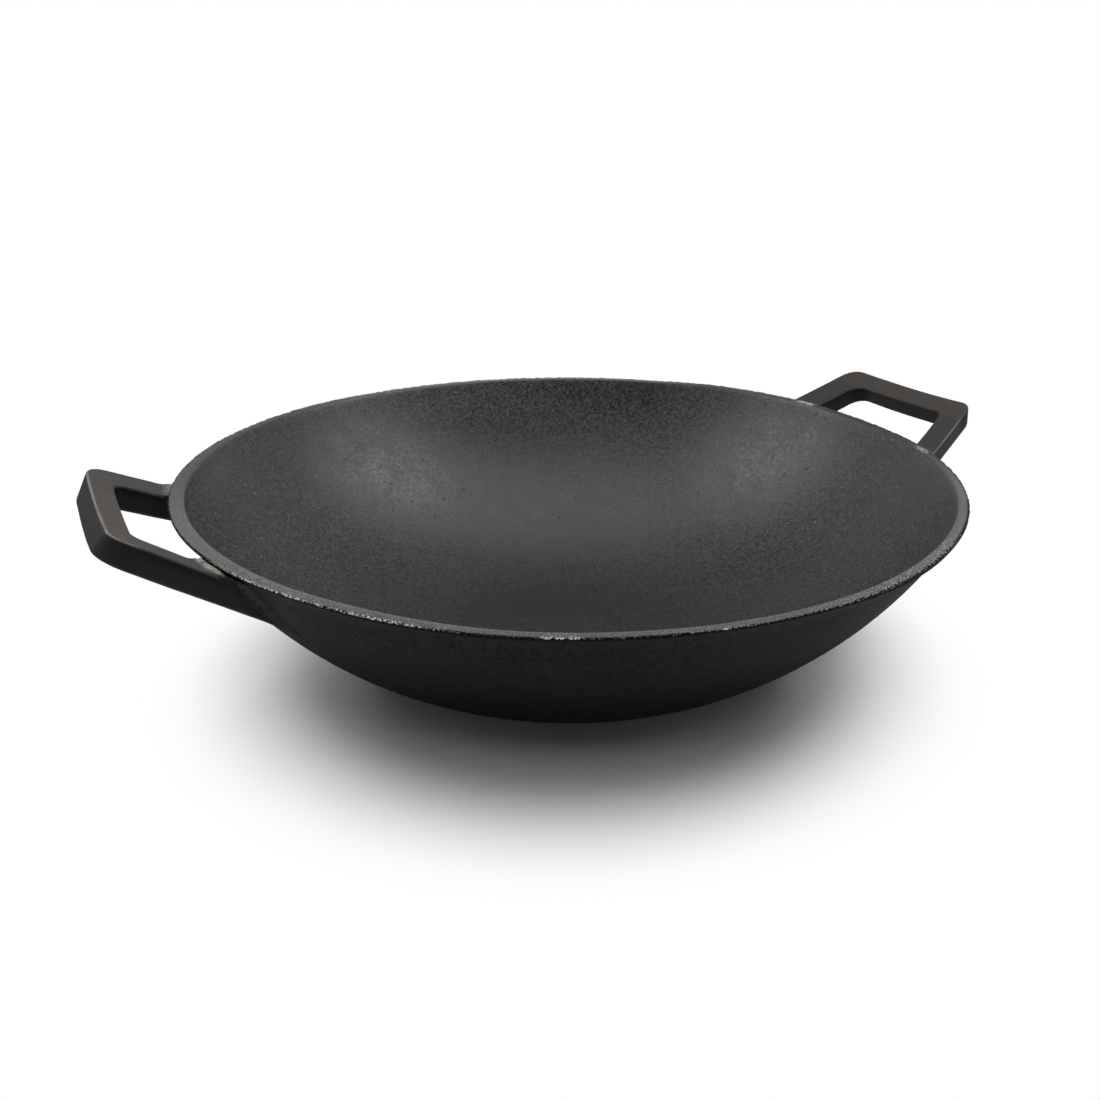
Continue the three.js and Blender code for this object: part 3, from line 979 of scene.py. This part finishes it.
class WOK_OT_handles(bpy.types.Operator):
    """Cast the two loop handles and dress them in rubbed iron"""

    bl_idname = "wok.handles"
    bl_label = "Loop handles"

    pitch: size("Pitch", "Spacing of the grid that the loops are skinned on", 0.0005)

    def execute(self, context):
        scene = context.scene
        irons = loop_iron(scene.wok_finish), outside_iron(scene.wok_finish)
        for side_name in SIDES:
            tree, settings = loop_tree(side_name, scene.wok_bowl, scene.wok_handle, *irons, self.pitch)
            piece = grow(f"{side_name}_loop", tree, settings)
            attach(piece, BODY)
            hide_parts(f"{side_name}_handle")
        return {"FINISHED"}


class WOK_OT_stage(bpy.types.Operator):
    """Lay the floor, hang the lamps and set the camera"""

    bl_idname = "wok.stage"
    bl_label = "Stage"

    def execute(self, context):
        stage = context.scene.wok_stage
        lay_floor(stage)
        light_room(stage)
        for name, place, width, key, mirrored in LAMPS:
            hang_lamp(name, place, width, getattr(stage, key)).visible_glossy = mirrored
        set_camera(stage)
        context.scene.view_settings.view_transform = "Standard"
        return {"FINISHED"}


def lay_floor(stage):
    """A pale floor under the wok, which is clear from below."""
    half = stage.floor_width / 2.0
    mesh = bpy.data.meshes.new("floor")
    corners = [(-half, -half, 0.0), (half, -half, 0.0), (half, half, 0.0), (-half, half, 0.0)]
    mesh.from_pydata(corners, [], [(0, 1, 2, 3)])
    floor = bpy.data.objects.new("floor", mesh)
    bpy.context.scene.collection.objects.link(floor)
    material, tree, shader, place = blank_material("floor_paint")
    tree.nodes.remove(shader)
    matt = field_of(tree, "ShaderNodeBsdfDiffuse", {"Color": (*stage.floor, 1.0)})
    clear = field_of(tree, "ShaderNodeBsdfTransparent")
    below = field_of(tree, "ShaderNodeNewGeometry", output="Backfacing")
    path = add(tree, "ShaderNodeLightPath")
    camera, glossy, through = (
        Field(tree, path.outputs[f"Is {ray} Ray"]) for ray in ("Camera", "Glossy", "Transmission"))
    white = field_of(tree, "ShaderNodeEmission", {"Color": WHITE, "Strength": 1.0})
    drawn_in = field_of(
        tree, "ShaderNodeVectorMath", {0: place, 1: SHADE_SHAPE, 2: SHADE_SHIFT}, operation="MULTIPLY_ADD")
    far = field_of(tree, "ShaderNodeVectorMath", {0: drawn_in}, output="Value", operation="LENGTH")
    faded = step(far, stage.floor_shade, stage.floor_fade) * camera.most(glossy).most(through)
    above = field_of(tree, "ShaderNodeMixShader", {0: faded, 1: matt, 2: white})
    both = field_of(tree, "ShaderNodeMixShader", {0: below, 1: above, 2: clear})
    tree.links.new(both.socket, tree.nodes["Material Output"].inputs["Surface"])
    material.cycles.emission_sampling = "NONE"
    mesh.materials.append(material)


def light_room(stage):
    """A white background that the iron's sheen shows low down, and a dim room."""
    world = bpy.data.worlds.new("studio")
    world.use_nodes = True
    bpy.context.scene.world = world
    tree = world.node_tree
    path = add(tree, "ShaderNodeLightPath")
    seen = Field(tree, path.outputs["Is Camera Ray"])
    glossy = Field(tree, path.outputs["Is Glossy Ray"])
    mirrored = glossy.most(Field(tree, path.outputs["Is Transmission Ray"]))
    x, y, z = split(field_of(tree, "ShaderNodeTexCoord", output="Generated"))
    towards_viewer = x * VIEWER_WAY[0] + y * VIEWER_WAY[1]
    dimmed = (1.0 - step(towards_viewer, 0.1, 0.75) * 0.85) * (1.0 - step(z, 0.3, 0.68) * 0.75)
    sheen = dimmed * stage.mirrored
    strength = seen.most(mirrored * sheen + (1.0 - mirrored) * stage.ambient)
    tree.links.new(strength.socket, tree.nodes["Background"].inputs["Strength"])
    tree.nodes["Background"].inputs["Color"].default_value = WHITE


def hang_lamp(name, place, width, power):
    """A soft square lamp that looks at the middle of the wok."""
    light = bpy.data.lights.new(name, "AREA")
    light.energy = power
    light.size = width
    lamp = bpy.data.objects.new(name, light)
    bpy.context.scene.collection.objects.link(lamp)
    lamp.location = place
    lamp.rotation_mode = "QUATERNION"
    lamp.rotation_quaternion = (Vector(LAMP_TARGET) - Vector(place)).to_track_quat("-Z", "Y")
    return lamp


def set_camera(stage):
    """The viewpoint of the photograph."""
    data = bpy.data.cameras.new("camera")
    data.sensor_width = SENSOR_WIDTH
    data.lens = SENSOR_WIDTH * stage.focal_pixels / PHOTO_PIXELS
    data.clip_start = CLIP_START
    camera = bpy.data.objects.new("camera", data)
    bpy.context.scene.collection.objects.link(camera)
    right, up = Vector(CAMERA_RIGHT), Vector(CAMERA_UP)
    turn = Matrix((right, up, right.cross(up))).transposed()
    camera.matrix_world = Matrix.Translation(CAMERA_PLACE) @ turn.to_4x4()
    bpy.context.scene.camera = camera


class WOK_PT_panel(bpy.types.Panel):
    """Lists the steps that build the wok"""

    bl_idname = "WOK_PT_panel"
    bl_label = "Cast iron wok"
    bl_space_type = "VIEW_3D"
    bl_region_type = "UI"
    bl_category = "Wok"

    def draw(self, context):
        for operator in OPERATORS:
            self.layout.operator(operator.bl_idname)
        for key in GROUPS:
            box = self.layout.box()
            group = getattr(context.scene, key)
            for name in type(group).__annotations__:
                box.prop(group, name)


OPERATORS = (WOK_OT_bowl, WOK_OT_handles, WOK_OT_stage)
GROUPS = {
    "wok_bowl": WOK_PG_bowl,
    "wok_handle": WOK_PG_handle,
    "wok_finish": WOK_PG_finish,
    "wok_stage": WOK_PG_stage,
}


def register():
    """Make the classes known, and give the scene their properties."""
    for made in (*GROUPS.values(), *OPERATORS, WOK_PT_panel):
        bpy.utils.register_class(made)
    for key, group in GROUPS.items():
        setattr(bpy.types.Scene, key, PointerProperty(type=group))


def unregister():
    """Undo what register did."""
    for key in GROUPS:
        delattr(bpy.types.Scene, key)
    for made in (WOK_PT_panel, *reversed(OPERATORS), *reversed(GROUPS.values())):
        bpy.utils.unregister_class(made)


def main():
    """Build the wok and its stage."""
    register()
    bpy.ops.wok.bowl()
    bpy.ops.wok.handles()
    bpy.ops.wok.stage()


if __name__ == "__main__":
    main()
